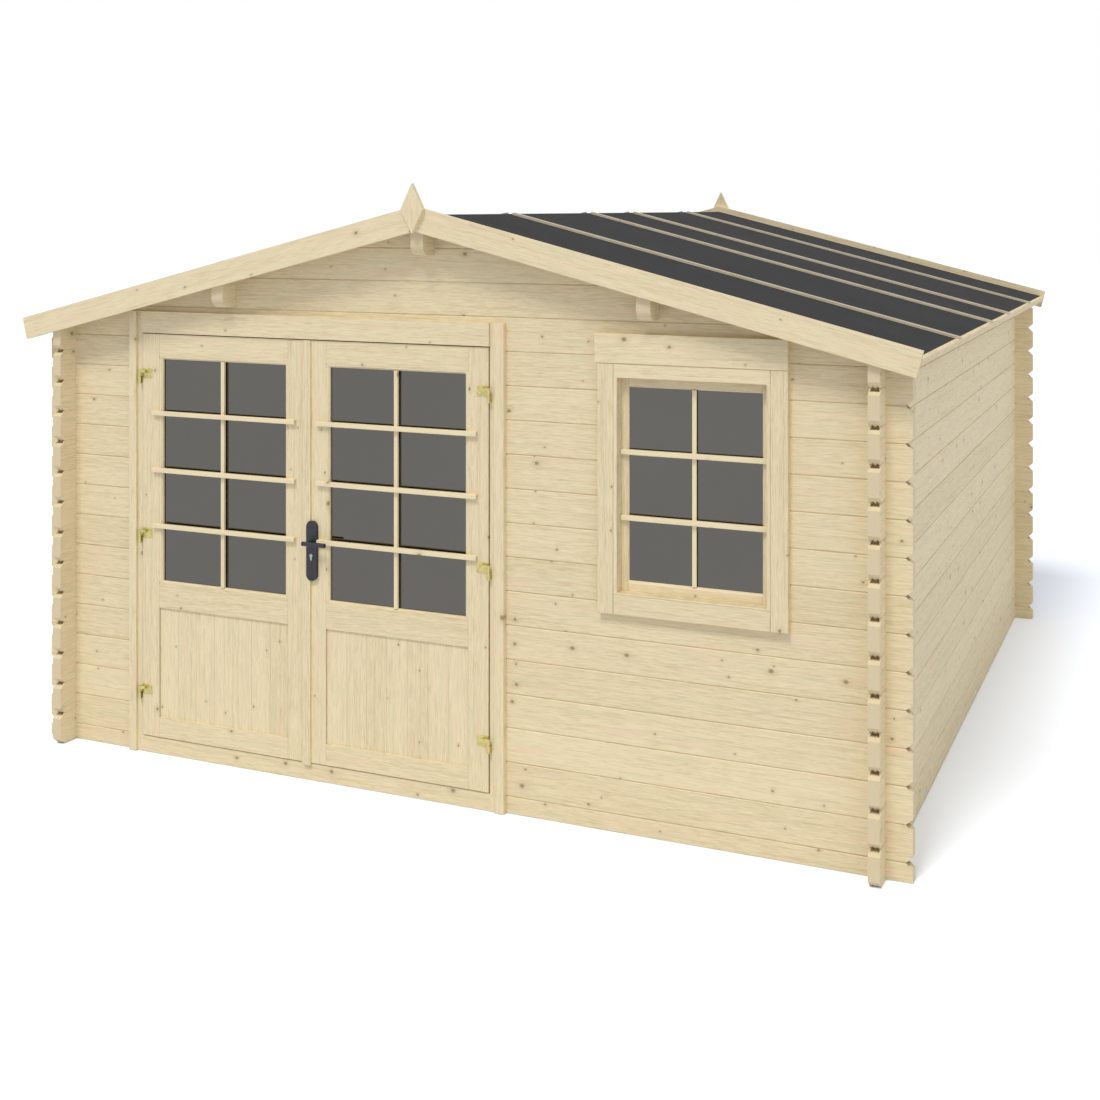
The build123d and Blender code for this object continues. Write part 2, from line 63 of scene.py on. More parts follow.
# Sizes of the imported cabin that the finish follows, in metres, and the roof's pitch
LOG_HEIGHT = 138.5 * MM
PITCH = math.radians(14.0)
ROOF_THICKNESS = 18 * MM
WINDOW_LINING = 15 * MM
WINDOW_HEAD_BOARD = 116 * MM
HINGE_HEIGHTS = (285 * MM, 989 * MM, 1708 * MM)
FLAP_THICKNESS = 2.5 * MM

# Sizes of what the finish adds
PANEL_BOARD = 98 * MM
UPRIGHT_ROUNDING = 2 * MM
BAR_CLEARANCE = 1 * MM
SCREW_INSETS = (8 * MM, 22 * MM)
SCREW_RISE = 13 * MM
CYLINDER_TOP = 975 * MM
CYLINDER_ARC = (math.radians(-54), math.radians(234))
CYLINDER_PROUD = 2 * MM

# Steps that give like pieces in a row a number each, and where those of the roof boards start, in metres
EAVE_STEP = 1.0
BARGEBOARD_STEP = 3.0
BATTEN_STEP = 0.3
JOIST_STEP = 0.3
BAR_STEP = 0.12
ROOF_BOARDS_FROM = -2.0

# Looks that the panel doesn't list
JOINT_COLOUR = (0.30, 0.21, 0.11)
WEATHERED = (0.36, 0.33, 0.31)
FLOOR_GAIN = 1.46
FLOOR_RADIUS = 60.0
FLOOR_DROP = 2 * MM

FRONT_WALLS = (
    "front_wall_left",
    "front_wall_middle",
    "front_wall_under_window",
    "front_wall_right",
    "front_gable",
)
# Single pieces: first seed, the axes along, across and into them, and their nodes
SINGLE_PIECES = (
    (10, "YZX", ("ridge_purlin", "left_purlin", "right_purlin")),
    (14, "ZXY", ("door_left_post", "door_right_post", "front_finial", "back_finial", "door_cover_strip")),
    (20, "XZY", ("door_header", "door_sill")),
)


class TimberSettings(bpy.types.PropertyGroup):
    """Colours and grain of the planed spruce."""

    pale: FloatVectorProperty(
        name="Pale wood",
        description="Colour of the wood between the growth lines",
        subtype="COLOR",
        size=3,
        default=(0.83, 0.71, 0.47),
    )
    line: FloatVectorProperty(
        name="Growth line",
        description="Colour of the growth lines",
        subtype="COLOR",
        size=3,
        default=(0.60, 0.48, 0.285),
    )
    blush: FloatVectorProperty(
        name="Blush",
        description="Colour of the pinkish streaks",
        subtype="COLOR",
        size=3,
        default=(0.80, 0.60, 0.42),
    )
    grey: FloatVectorProperty(
        name="Grey streak",
        description="Colour of the greenish grey streaks",
        subtype="COLOR",
        size=3,
        default=(0.67, 0.62, 0.40),
    )
    end: FloatVectorProperty(
        name="End grain",
        description="Colour of the sawn ends",
        subtype="COLOR",
        size=3,
        default=(0.70, 0.585, 0.39),
    )
    knot: FloatVectorProperty(
        name="Knot",
        description="Colour of the middle of a knot",
        subtype="COLOR",
        size=3,
        default=(0.27, 0.185, 0.085),
    )
    knot_share: FloatProperty(
        name="Knots",
        description="Share of the places for a knot that hold one",
        default=0.62,
        min=0.0,
        max=1.0,
        subtype="FACTOR",
    )


class BarSettings(bpy.types.PropertyGroup):
    """Sizes of the bars over the panes."""

    width: FloatProperty(
        name="Width",
        description="Width of a bar's face",
        default=20 * MM,
        unit="LENGTH",
    )
    thickness: FloatProperty(
        name="Thickness",
        description="How far a bar stands out of the door leaf",
        default=17 * MM,
        unit="LENGTH",
    )
    rounding: FloatProperty(
        name="Rounding",
        description="Radius of a bar's front edges",
        default=3 * MM,
        unit="LENGTH",
    )
    lap: FloatProperty(
        name="Lap on the doors",
        description="How far the level bars run past the glass of a door",
        default=58 * MM,
        unit="LENGTH",
    )
    window_lap: FloatProperty(
        name="Lap on the window",
        description="How far the level bars run past the glass of the window",
        default=28 * MM,
        unit="LENGTH",
    )
    left_lap: FloatProperty(
        name="Lap at the far left",
        description="How far the left door's level bars run past the glass at the hinges",
        default=46 * MM,
        unit="LENGTH",
    )
    upright_width: FloatProperty(
        name="Width of the uprights",
        description="Width of the upright bars, which stand behind the level bars",
        default=18 * MM,
        unit="LENGTH",
    )
    upright_gap: FloatProperty(
        name="Gap behind the uprights",
        description="How far the upright bars stay off the glass",
        default=5 * MM,
        unit="LENGTH",
    )
    door_levels: FloatVectorProperty(
        name="Door heights",
        description="Heights of the level bars on the doors",
        size=3,
        default=(1026 * MM, 1276 * MM, 1531 * MM),
        unit="LENGTH",
    )
    window_levels: FloatVectorProperty(
        name="Window heights",
        description="Heights of the level bars on the window",
        size=2,
        default=(1236 * MM, 1494 * MM),
        unit="LENGTH",
    )


class BoardSettings(bpy.types.PropertyGroup):
    """Sizes of the roof and floor boards."""

    roof_width: FloatProperty(
        name="Roof board",
        description="Width that one roof board covers",
        default=88 * MM,
        unit="LENGTH",
    )
    floor_width: FloatProperty(
        name="Floor board",
        description="Width that one floor board covers",
        default=112 * MM,
        unit="LENGTH",
    )
    bevel: FloatProperty(
        name="Bevel",
        description="Bevel along the edges of the boards",
        default=2.5 * MM,
        unit="LENGTH",
    )


class ScrewSettings(bpy.types.PropertyGroup):
    """Sizes of the screws in the hinges and of the lock's cylinder."""

    radius: FloatProperty(
        name="Head radius",
        description="Radius of a screw's head",
        default=4.0 * MM,
        unit="LENGTH",
    )
    height: FloatProperty(
        name="Head height",
        description="How far the middle of a screw's head stands out",
        default=1.6 * MM,
        unit="LENGTH",
    )
    recess: FloatProperty(
        name="Recess",
        description="Depth of the cross recess in a screw's head",
        default=0.9 * MM,
        unit="LENGTH",
    )
    cylinder_radius: FloatProperty(
        name="Cylinder radius",
        description="Radius of the round part of the lock's cylinder",
        default=7.5 * MM,
        unit="LENGTH",
    )
    cylinder_height: FloatProperty(
        name="Cylinder height",
        description="Height of the lock's cylinder",
        default=29 * MM,
        unit="LENGTH",
    )


class FinishSettings(bpy.types.PropertyGroup):
    """Colours of the felt, the metal and the glass."""

    felt_dark: FloatVectorProperty(
        name="Felt",
        description="Colour of the felt between the granules",
        subtype="COLOR",
        size=3,
        default=(0.021, 0.0205, 0.0215),
    )
    felt_pale: FloatVectorProperty(
        name="Felt granules",
        description="Colour of the granules on the felt",
        subtype="COLOR",
        size=3,
        default=(0.048, 0.047, 0.0485),
    )
    felt_patch: FloatVectorProperty(
        name="Felt patches",
        description="Colour of the faint broad patches on the felt",
        subtype="COLOR",
        size=3,
        default=(0.055, 0.054, 0.055),
    )
    brass: FloatVectorProperty(
        name="Brass",
        description="Colour of the hinges",
        subtype="COLOR",
        size=3,
        default=(0.66, 0.56, 0.22),
    )
    black: FloatVectorProperty(
        name="Black",
        description="Colour of the lock plates and the lever",
        subtype="COLOR",
        size=3,
        default=(0.018, 0.018, 0.026),
    )
    zinc: FloatVectorProperty(
        name="Zinc",
        description="Colour of the screws",
        subtype="COLOR",
        size=3,
        default=(0.55, 0.47, 0.22),
    )
    nickel: FloatVectorProperty(
        name="Nickel",
        description="Colour of the lock's cylinder",
        subtype="COLOR",
        size=3,
        default=(0.42, 0.41, 0.40),
    )
    glass_dark: FloatVectorProperty(
        name="Dark glass",
        description="Colour of the darkest parts of the panes",
        subtype="COLOR",
        size=3,
        default=(0.1265, 0.116, 0.0995),
    )
    glass_pale: FloatVectorProperty(
        name="Pale glass",
        description="Colour of the palest parts of the panes",
        subtype="COLOR",
        size=3,
        default=(0.1385, 0.128, 0.1115),
    )


class StudioSettings(bpy.types.PropertyGroup):
    """Light and floor of the studio."""

    key: FloatProperty(
        name="Key light",
        description="Strength of the light from above the front",
        default=1.60,
    )
    fill: FloatProperty(
        name="Fill light",
        description="Strength of the soft light from the right",
        default=0.70,
    )
    sky: FloatProperty(
        name="Sky",
        description="Strength of the even light from all round",
        default=0.45,
    )
    floor: FloatVectorProperty(
        name="Floor",
        description="Colour of the floor",
        subtype="COLOR",
        size=3,
        default=(0.78, 0.82, 0.90),
    )


class Graph:
    """Short way to write a node tree: its functions add nodes and return an output socket."""

    def __init__(self, tree):
        self.tree = tree

    def node(self, kind, **settings):
        """Adds a node with its settings, and returns the node itself."""
        made = self.tree.nodes.new(kind)
        for name, value in settings.items():
            setattr(made, name, value)
        return made

    def feed(self, socket, value):
        """Links another socket to a socket, or sets its number."""
        if isinstance(value, bpy.types.NodeSocket):
            self.tree.links.new(value, socket)
        elif value is not None:
            socket.default_value = value

    def math(self, operation, a, b=None, c=None):
        made = self.node("ShaderNodeMath", operation=operation)
        for socket, value in zip(made.inputs, (a, b, c)):
            self.feed(socket, value)
        return made.outputs[0]

    def vector(self, x=0.0, y=0.0, z=0.0):
        made = self.node("ShaderNodeCombineXYZ")
        for socket, value in zip(made.inputs, (x, y, z)):
            self.feed(socket, value)
        return made.outputs[0]

    def split(self, vector):
        """Three output sockets with the parts of a vector."""
        made = self.node("ShaderNodeSeparateXYZ")
        self.feed(made.inputs[0], vector)
        return made.outputs

    def vector_math(self, operation, a, b=None):
        made = self.node("ShaderNodeVectorMath", operation=operation)
        self.feed(made.inputs[0], a)
        self.feed(made.inputs[1], b)
        return made.outputs["Value"] if operation == "LENGTH" else made.outputs["Vector"]

    def noise(self, vector, detail=2.0, roughness=0.5):
        made = self.node("ShaderNodeTexNoise")
        self.feed(made.inputs["Vector"], vector)
        made.inputs["Scale"].default_value = 1.0
        made.inputs["Detail"].default_value = detail
        made.inputs["Roughness"].default_value = roughness
        return made.outputs["Fac"]

    def cloud(self, waves, detail, roughness=0.5):
        """Noise in object coordinates with the same waves a metre every way."""
        place = self.node("ShaderNodeTexCoord").outputs["Object"]
        return self.noise(self.vector_math("MULTIPLY", place, (waves, waves, waves)), detail, roughness)

    def ramp(self, value, low, high, to_low=0.0, to_high=1.0):
        """Smooth step from to_low at low to to_high at high."""
        made = self.node("ShaderNodeMapRange", interpolation_type="SMOOTHSTEP")
        self.feed(made.inputs["Value"], value)
        limits = {"From Min": low, "From Max": high, "To Min": to_low, "To Max": to_high}
        for name, number in limits.items():
            self.feed(made.inputs[name], number)
        return made.outputs["Result"]

    def wave(self, value, turns):
        """0.5 + 0.5 * sin(2 pi * turns * value)."""
        sine = self.math("SINE", self.math("MULTIPLY", value, 2 * math.pi * turns))
        return self.math("MULTIPLY_ADD", sine, 0.5, 0.5)

    def mix(self, share, a, b):
        """Mix of two colours."""
        made = self.node("ShaderNodeMix", data_type="RGBA")
        self.feed(made.inputs["Factor"], share)
        colours = [socket for socket in made.inputs if socket.type == "RGBA"]
        for socket, value in zip(colours, (a, b)):
            self.feed(socket, (*value, 1.0) if isinstance(value, tuple) else value)
        return [socket for socket in made.outputs if socket.type == "RGBA"][0]

    def blend(self, share, a, b):
        """Mix of two numbers."""
        made = self.node("ShaderNodeMix", data_type="FLOAT")
        for place, value in ((0, share), (2, a), (3, b)):
            self.feed(made.inputs[place], value)
        return made.outputs[0]

    def random(self, value):
        """Random colour for a number, always the same for the same number."""
        made = self.node("ShaderNodeTexWhiteNoise", noise_dimensions="1D")
        self.feed(made.inputs["W"], value)
        return made.outputs["Color"]

    def bump(self, height, strength, distance):
        """Normal that is roughened by a height."""
        made = self.node("ShaderNodeBump")
        made.inputs["Strength"].default_value = strength
        made.inputs["Distance"].default_value = distance
        self.feed(made.inputs["Height"], height)
        return made.outputs[0]

    def surface(self, sockets):
        """Principled shader on the material's surface, fed by name with numbers or other sockets."""
        shader = self.node("ShaderNodeBsdfPrincipled")
        for name, value in sockets.items():
            self.feed(shader.inputs[name], value)
        self.feed(self.node("ShaderNodeOutputMaterial").inputs["Surface"], shader.outputs[0])


def new_material(name):
    """Material without nodes, and the graph that fills it."""
    material = bpy.data.materials.new(name)
    material.use_nodes = True
    material.node_tree.nodes.clear()
    return material, Graph(material.node_tree)


def knots(graph, along, across, share):
    """Masks of the knots' cores and of the halos round them.

    Each cell of a Voronoi pattern may hold one knot. With u random from 0 to 1, its radius is
    least + spread * u^3, so most knots are small. Metres along the grain count less, by the share squeeze, so
    knots are a little longer that way.
    """
    cell = (0.29, 0.115)
    squeeze = 0.8
    least = 0.0028
    spread = 0.0055
    place = graph.vector(graph.math("DIVIDE", along, cell[0]), graph.math("DIVIDE", across, cell[1]))
    pattern = graph.node("ShaderNodeTexVoronoi", voronoi_dimensions="2D", feature="F1")
    graph.feed(pattern.inputs["Vector"], place)
    pattern.inputs["Scale"].default_value = 1.0
    away = graph.vector_math("SUBTRACT", place, pattern.outputs["Position"])
    away = graph.vector_math("MULTIPLY", away, (cell[0] * squeeze, cell[1], 0.0))
    chance = graph.split(pattern.outputs["Color"])
    present = graph.math("LESS_THAN", chance[0], share)
    radius = graph.math("MULTIPLY_ADD", graph.math("POWER", chance[1], 3.0), spread, least)
    radii = graph.math("DIVIDE", graph.vector_math("LENGTH", away), radius)
    core = graph.math("MULTIPLY", graph.ramp(radii, 1.6, 0.3), present)
    halo = graph.math("MULTIPLY", graph.ramp(radii, 4.5, 0.6), present)
    return core, halo


def streaks(graph, along, across, waves, detail=3.0):
    """Noise with its own waves a metre along the grain and across it."""
    place = graph.vector(graph.math("MULTIPLY", along, waves[0]), graph.math("MULTIPLY", across, waves[1]))
    return graph.noise(place, detail, 0.6)


def sawn_rings(graph, across, depth):
    """Growth rings on a sawn end: a little uneven, round the line at 0.05 m across and -0.11 m deep."""
    rings_a_metre = 260.0
    away = graph.vector(graph.math("SUBTRACT", across, 0.05), graph.math("ADD", depth, 0.11))
    uneven = graph.noise(graph.vector_math("MULTIPLY", away, (20.0, 20.0, 0.0)))
    count = graph.math("MULTIPLY", graph.vector_math("LENGTH", away), rings_a_metre)
    return graph.wave(graph.math("MULTIPLY_ADD", uneven, 1.2, count), 1.0)


def spruce_group():
    """Node group of planed spruce: growth lines that bend round knots, fibres, and rings on sawn ends.

    Its inputs are metres along the grain, across it and into the piece, a board number, 1 on a sawn end, and
    how much paler than the rest a piece is. The board number moves the pattern, so that boards differ.
    """
    if "Spruce" in bpy.data.node_groups:
        return bpy.data.node_groups["Spruce"]
    look = bpy.context.scene.cabin_timber
    tree = bpy.data.node_groups.new("Spruce", "ShaderNodeTree")
    for name in ("Along", "Across", "Depth", "Board", "End", "Pale"):
        tree.interface.new_socket(name, in_out="INPUT", socket_type="NodeSocketFloat")
    tree.interface.new_socket("Color", in_out="OUTPUT", socket_type="NodeSocketColor")
    tree.interface.new_socket("Height", in_out="OUTPUT", socket_type="NodeSocketFloat")
    graph = Graph(tree)
    given = graph.node("NodeGroupInput").outputs
    result = graph.node("NodeGroupOutput").inputs

    chance = graph.split(graph.random(given["Board"]))
    along = graph.math("MULTIPLY_ADD", chance[0], 37.0, given["Along"])
    across = graph.math("MULTIPLY_ADD", chance[1], 5.0, given["Across"])
    depth = graph.math("MULTIPLY_ADD", chance[2], 5.0, given["Depth"])
    core, halo = knots(graph, along, across, look.knot_share)

    # The level of a growth line: bent round the knots, wandering slowly, and sloping into the piece
    bent = graph.math("MULTIPLY_ADD", halo, 0.008, across)
    wander = graph.vector(graph.math("MULTIPLY", along, 0.9), graph.math("MULTIPLY", bent, 7.0), depth)
    level = graph.math("MULTIPLY_ADD", graph.noise(wander), 0.05, bent)
    level = graph.math("MULTIPLY_ADD", depth, 0.6, level)

    lines_a_metre = 110.0
    broad = streaks(graph, along, level, (1.6, 55.0))
    middle = streaks(graph, along, level, (11.0, 190.0))
    fine = streaks(graph, along, across, (26.0, 560.0), 2.0)
    lines = graph.math("POWER", graph.wave(level, lines_a_metre), 3.0)
    lines = graph.math("MULTIPLY", lines, graph.ramp(broad, 0.40, 0.68, 0.05, 1.0))
    grain = graph.math("MULTIPLY", lines, 0.20)
    for streak, low, high, weight in (
        (fine, 0.35, 0.75, 0.34),
        (middle, 0.36, 0.72, 0.46),
        (broad, 0.42, 0.72, 0.20),
    ):
        grain = graph.math("ADD", grain, graph.ramp(streak, low, high, 0.0, weight))
    grain = graph.math("ADD", grain, graph.math("MULTIPLY_ADD", chance[1], 0.24, -0.12))
    grain = graph.math("SUBTRACT", grain, given["Pale"])

    colour = graph.mix(graph.ramp(grain, -0.05, 1.1), tuple(look.pale), tuple(look.line))
    for tint, waves, aside, low, high, most in (
        (look.blush, (3.0, 22.0), 3.3, 0.50, 0.74, 0.62),
        (look.grey, (4.5, 34.0), 7.7, 0.50, 0.76, 0.60),
    ):
        streak = streaks(graph, along, graph.math("ADD", across, aside), waves)
        colour = graph.mix(graph.ramp(streak, low, high, 0.0, most), colour, tuple(tint))
    round_knot = tuple(0.6 * a + 0.4 * b for a, b in zip(look.line, look.knot))
    colour = graph.mix(graph.math("MULTIPLY", halo, 0.28), colour, round_knot)
    colour = graph.mix(graph.math("MULTIPLY", core, 0.85), colour, tuple(look.knot))

    ring = sawn_rings(graph, given["Across"], given["Depth"])
    sawn = graph.mix(graph.math("MULTIPLY", ring, 0.35), tuple(look.end), tuple(look.line))
    graph.feed(result["Color"], graph.mix(given["End"], colour, sawn))
    graph.feed(result["Height"], graph.math("MULTIPLY_ADD", lines, 0.4, graph.math("MULTIPLY", fine, 0.6)))
    return tree


def timber(name, along, across, into, number, seed, seams=(), pale=0.0, greyed=0.0):
    """Spruce material. along, across and into name object axes, or are functions of (graph, x, y, z).

    number works out the board's number the same way, so that each board has its own grain, and seed does that
    for each material. Each of the seams is a function of the same kind, whose value is zero along a joint
    between two pieces, in metres. pale lightens the wood, and greyed is the share of grey in it.
    """
    material, graph = new_material(name)
    coordinates = graph.node("ShaderNodeTexCoord").outputs
    xyz = graph.split(coordinates["Object"])

    def axis(way):
        return way(graph, *xyz) if callable(way) else xyz["XYZ".index(way)]

    wood = graph.node("ShaderNodeGroup", node_tree=spruce_group())
    graph.feed(wood.inputs["Along"], axis(along))
    graph.feed(wood.inputs["Across"], axis(across))
    graph.feed(wood.inputs["Depth"], axis(into))
    board = 31.7 * seed + 0.5
    if number:
        board = graph.math("ADD", axis(number), board)
    graph.feed(wood.inputs["Board"], board)
    if isinstance(along, str):
        facing = graph.split(coordinates["Normal"])["XYZ".index(along)]
        graph.feed(wood.inputs["End"], graph.ramp(graph.math("ABSOLUTE", facing), 0.55, 0.75))
    graph.feed(wood.inputs["Pale"], pale)
    colour = wood.outputs["Color"]
    for seam in seams:
        near = graph.ramp(graph.math("ABSOLUTE", seam(graph, *xyz)), 1.8 * MM, 0.4 * MM)
        colour = graph.mix(graph.math("MULTIPLY", near, 0.34), colour, JOINT_COLOUR)
    if greyed:
        colour = graph.mix(greyed, colour, WEATHERED)
    graph.surface(
        {
            "Base Color": colour,
            "Roughness": 0.62,
            "Specular IOR Level": 0.25,
            "Normal": graph.bump(wood.outputs["Height"], 0.18, 0.6 * MM),
        }
    )
    return material


def counted(axis, size, start=0.0):
    """Number of the board at a place: whole steps of size along an axis, counted from start."""

    def number(graph, *xyz):
        steps = graph.math("DIVIDE", graph.math("SUBTRACT", xyz["XYZ".index(axis)], start), size)
        return graph.math("FLOOR", steps)

    return number


def repeated(axis, size, start=0.0):
    """Distance to the nearest of the joints that lie at start and at every whole step of size from there."""

    def seam(graph, *xyz):
        steps = graph.math("DIVIDE", graph.math("SUBTRACT", xyz["XYZ".index(axis)], start), size)
        return graph.math("MULTIPLY", graph.math("SUBTRACT", steps, graph.math("ROUND", steps)), size)

    return seam


def dress(node, material):
    """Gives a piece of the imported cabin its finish."""
    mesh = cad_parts[node].data
    mesh.materials.clear()
    mesh.materials.append(material)


def add_piece(name, points, faces, material, body, slot):
    """Makes a mesh piece in place from points and outward faces, and lets it ride on a body."""
    mesh = bpy.data.meshes.new(name)
    mesh.from_pydata(points.tolist(), [], faces)
    mesh.validate()
    mesh.materials.append(material)
    piece = bpy.data.objects.new(name, mesh)
    bpy.context.scene.collection.objects.link(piece)
    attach(piece, body)
    return piece


def merge(piece):
    """Merges points on the same place, as in a ring shrunk to its middle, and turns the faces outwards."""
    shape = bmesh.new()
    shape.from_mesh(piece.data)
    bmesh.ops.remove_doubles(shape, verts=shape.verts, dist=1e-6)
    bmesh.ops.recalc_face_normals(shape, faces=shape.faces)
    shape.to_mesh(piece.data)
    shape.free()


def prisms(starts, ends):
    """Closed prisms, all with one outline of n points.

    starts and ends are arrays of the outline's points at both ends of each prism, (count, n, 3). The side
    faces join each point to the next, and one face closes each end. The outline runs round the way from start
    to end by the right-hand rule, so that all faces point outwards.
    """
    count, n, _ = starts.shape
    points = np.concatenate([starts, ends], axis=1).reshape(-1, 3)
    here = np.arange(n)
    after = (here + 1) % n
    sides = np.stack([here, after, after + n, here + n], axis=1)
    faces = []
    for base in range(0, 2 * n * count, 2 * n):
        faces += (sides + base).tolist()
        faces.append((here[::-1] + base).tolist())
        faces.append((here + n + base).tolist())
    return points, faces


def rounded_front(width, thickness, radius, steps=4):
    """Outline of a bar: (side, out) points, square behind, with a quarter circle at each front edge."""
    turn = np.linspace(0.0, math.pi / 2, steps)
    side = width / 2 - radius + radius * np.cos(turn)
    out = thickness - radius + radius * np.sin(turn)
    right = np.stack([side, out], axis=1)
    left = right[::-1] * (-1, 1)
    return np.concatenate([[(-width / 2, 0.0), (width / 2, 0.0)], right, left])


def bar_points(outline, starts, ends, side, out):
    """Places a bar's outline at both ends of each bar: point = end + side * s + out * o."""
    shift = outline[:, :1] * np.array(side) + outline[:, 1:] * np.array(out)
    return np.array(starts)[:, None, :] + shift, np.array(ends)[:, None, :] + shift


def level_bars(name, levels, left, right, face, body):
    """Level bars on the surface at depth face, from left to right at each of the heights."""
    size = bpy.context.scene.cabin_bars
    outline = rounded_front(size.width, size.thickness, size.rounding)
    starts = [(left, face, z) for z in levels]
    ends = [(right, face, z) for z in levels]
    points, faces = prisms(*bar_points(outline, starts, ends, (0, 0, -1), (0, -1, 0)))
    add_piece(name, points, faces, bpy.data.materials["Level bar spruce"], body, "spruce")


def upright_bar(name, pane, face, body):
    """Upright bar over the middle of a pane, from just off the glass to the level bars' backs, at face."""
    size = bpy.context.scene.cabin_bars
    low, high = pane
    middle = (low.x + high.x) / 2
    back = low.y - size.upright_gap
    outline = rounded_front(size.upright_width, back - face, UPRIGHT_ROUNDING)
    starts = [(middle, back, low.z)]
    ends = [(middle, back, high.z)]
    points, faces = prisms(*bar_points(outline, starts, ends, (1, 0, 0), (0, -1, 0)))
    add_piece(name, points, faces, bpy.data.materials["Upright bar spruce"], body, "spruce")


class CABIN_OT_timber(bpy.types.Operator):
    """Gives the timber pieces their spruce, with the grain along them."""

    bl_idname = "cabin.timber"
    bl_label = "Finish the timber"

    def execute(self, context):
        self.walls()
        for first_seed, axes, nodes in SINGLE_PIECES:
            for seed, node in enumerate(nodes, first_seed):
                dress(node, timber(f"{node} spruce", *axes, None, seed))
        self.roof_and_joists()
        self.doors_and_window()
        timber("Level bar spruce", "X", "Z", "Y", counted("Z", BAR_STEP), 40, pale=0.28)
        timber("Upright bar spruce", "Z", "X", "Y", counted("X", BAR_STEP), 41, pale=0.28)
        return {"FINISHED"}

    def walls(self):
        """Logs, each with its own grain. The joints of the sides lie half a log off those of the front."""
        half = LOG_HEIGHT / 2
        number = counted("Z", LOG_HEIGHT, half)
        joints = [repeated("Z", LOG_HEIGHT, half)]
        front = timber("Front log spruce", "X", "Z", "Y", number, 1, joints)
        back = timber("Back log spruce", "X", "Z", "Y", number, 2, joints)
        for node in FRONT_WALLS:
            dress(node, front)
        dress("back_wall", back)
        number = counted("Z", LOG_HEIGHT)
        joints = [repeated("Z", LOG_HEIGHT)]
        for seed, node in enumerate(("left_wall", "right_wall"), 3):
            dress(node, timber(f"{node} spruce", "Y", "Z", "X", number, seed, joints))

    def roof_and_joists(self):
        """Eave strips, bargeboards and battens of the roof, and the joists."""

        def across_slope(g, x, y, z):
            return g.math("MULTIPLY_ADD", g.math("ABSOLUTE", x), math.tan(PITCH), z)

        dress("eave_strips", timber("Eave spruce", "Y", "Z", "X", counted("X", EAVE_STEP), 23, pale=-0.35))
        number = counted("X", BARGEBOARD_STEP)
        for seed, end in enumerate(("front", "back"), 24):
            board = timber(f"{end} bargeboard spruce", "X", across_slope, "Y", number, seed)
            dress(f"{end}_left_bargeboard", board)
            dress(f"{end}_right_bargeboard", board)
        battens = timber("Batten spruce", "X", "Y", "Z", counted("Y", BATTEN_STEP), 27, greyed=0.5)
        dress("roof_battens", battens)
        dress("floor_joists", timber("Joist spruce", "Y", "X", "Z", counted("X", JOIST_STEP), 28))

    def doors_and_window(self):
        """Frames round the panes, and the boarded panels of the doors."""
        for seed, side in enumerate(("left", "right"), 30):
            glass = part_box(f"{side}_door_glass")
            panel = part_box(f"{side}_door_panel")
            rails = [(panel[0].z + panel[1].z) / 2, (glass[0].z + glass[1].z) / 2]
            bead = glass[0].x - panel[0].x
            dress(f"{side}_door_leaf", self.framed(f"{side} leaf spruce", glass, bead, rails, seed))
            number = counted("X", PANEL_BOARD, panel[0].x)
            joints = [repeated("X", PANEL_BOARD, panel[0].x)]
            boards = timber(f"{side} panel spruce", "Z", "X", "Y", number, seed + 2, joints)
            dress(f"{side}_door_panel", boards)
        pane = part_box("window_glass")
        middle = (pane[0].z + pane[1].z) / 2
        dress("window_sash", self.framed("Sash spruce", pane, 0.0, [middle], 36))
        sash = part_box("window_sash")
        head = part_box("window_frame")[1].z - WINDOW_HEAD_BOARD
        dress("window_frame", self.framed("Casing spruce", sash, WINDOW_LINING, [middle, head], 37, head))

    def framed(self, name, opening, strip, rails, seed, head=math.inf):
        """Spruce of a joined frame round an opening: upright grain beside it and level grain above and below.

        strip is the width of the beads or the lining round the opening, which are pieces of their own. The
        heights in rails tell the level pieces apart, and over head every piece is level.
        """
        low, high = opening
        middle = (low.x + high.x) / 2
        half = (high.x - low.x) / 2
        first_level = 5.0

        def beside(g, x, reach):
            return g.math("GREATER_THAN", g.math("ABSOLUTE", g.math("SUBTRACT", x, middle)), reach)

        def in_height(g, z):
            return g.math("MULTIPLY", g.math("GREATER_THAN", z, low.z), g.math("LESS_THAN", z, high.z))

        def upright(g, x, z):
            strips = g.math("MULTIPLY", beside(g, x, half), in_height(g, z))
            sides = g.math("MAXIMUM", beside(g, x, half + strip), strips)
            return sides if head == math.inf else g.math("MULTIPLY", sides, g.math("LESS_THAN", z, head))

        def along(g, x, y, z):
            return g.blend(upright(g, x, z), x, z)

        def across(g, x, y, z):
            return g.blend(upright(g, x, z), z, x)

        def number(g, x, y, z):
            """0 to 3 for the strips and stiles, and first_level or more for the level pieces."""
            side = g.math("GREATER_THAN", x, middle)
            side = g.math("MULTIPLY_ADD", beside(g, x, half + strip), 2.0, side)
            level = first_level
            for height in rails:
                level = g.math("ADD", g.math("GREATER_THAN", z, height), level)
            return g.blend(upright(g, x, z), level, side)

        def shoulder(place):
            """Joint between a stile and the rails, which stops beside the opening and over head."""

            def seam(g, x, y, z):
                hidden = in_height(g, z)
                if head != math.inf:
                    hidden = g.math("MAXIMUM", hidden, g.math("GREATER_THAN", z, head))
                return g.math("ADD", g.math("SUBTRACT", x, place), hidden)

            return seam

        places = (middle - half - strip, middle + half + strip)
        return timber(name, along, across, "Y", number, seed, [shoulder(place) for place in places])


